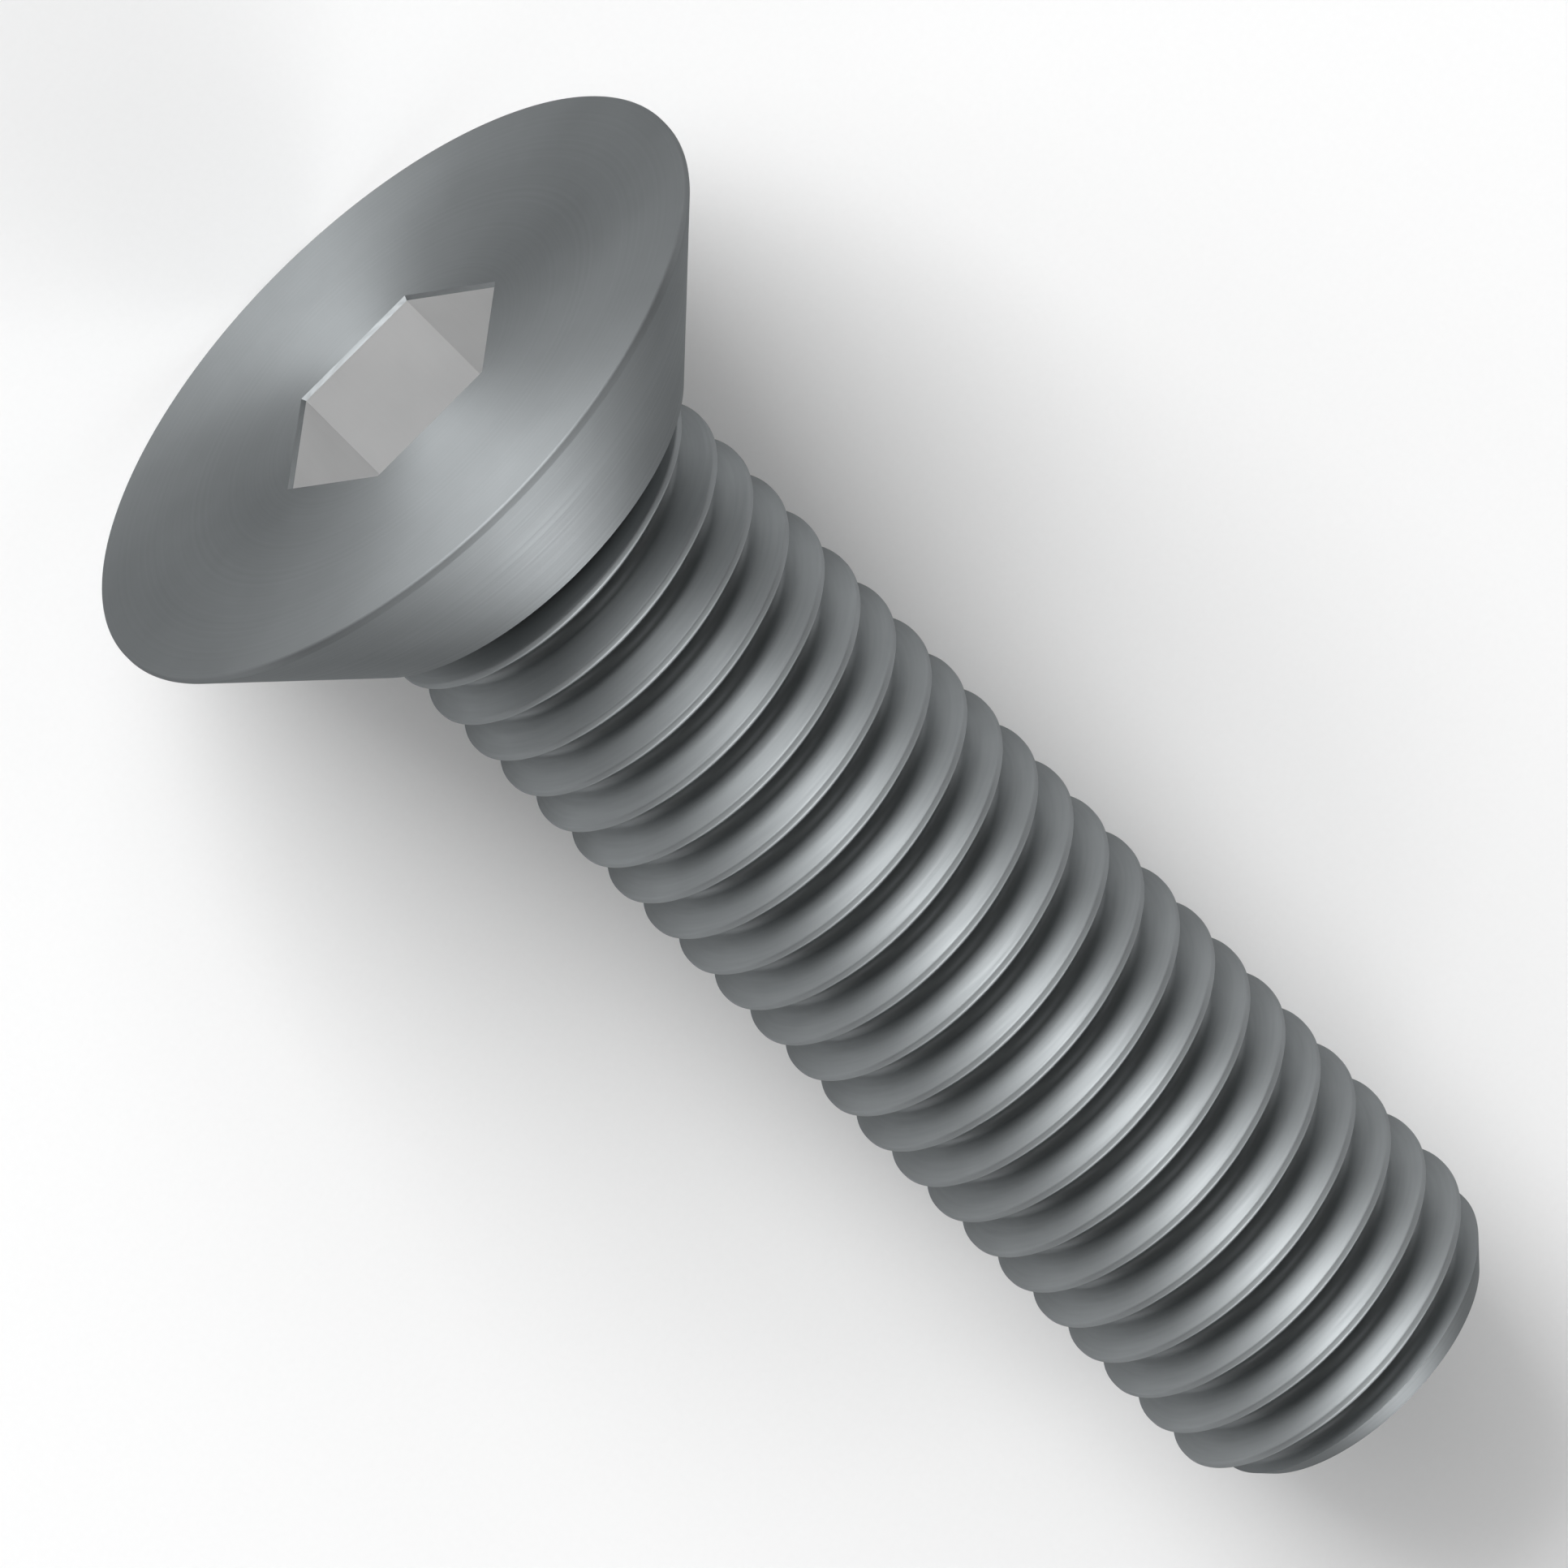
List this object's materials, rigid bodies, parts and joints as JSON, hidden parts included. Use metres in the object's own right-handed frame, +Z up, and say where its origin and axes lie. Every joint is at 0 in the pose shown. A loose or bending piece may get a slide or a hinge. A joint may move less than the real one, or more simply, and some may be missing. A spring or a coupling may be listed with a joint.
{
  "type": "countersunk socket screw",
  "caption": "Flat countersunk head machine screw with a hexagon socket and a fine right-hand thread up to the head, in plain steel, lying on its rim and tip",
  "frame": {"origin": "on the floor, under the middle of the lying screw", "axes": "+X runs from the head towards the tip, +Z up; the screw's own axis lies in the XZ plane and falls 7 degrees towards the tip"},
  "size_m": [0.0256, 0.0122, 0.0121],
  "materials": {
    "steel": "satin alloy steel, fine turned and drawn grain"
  },
  "bodies": {
    "root": {"socket_screw": "steel"}
  },
  "joints": []
}
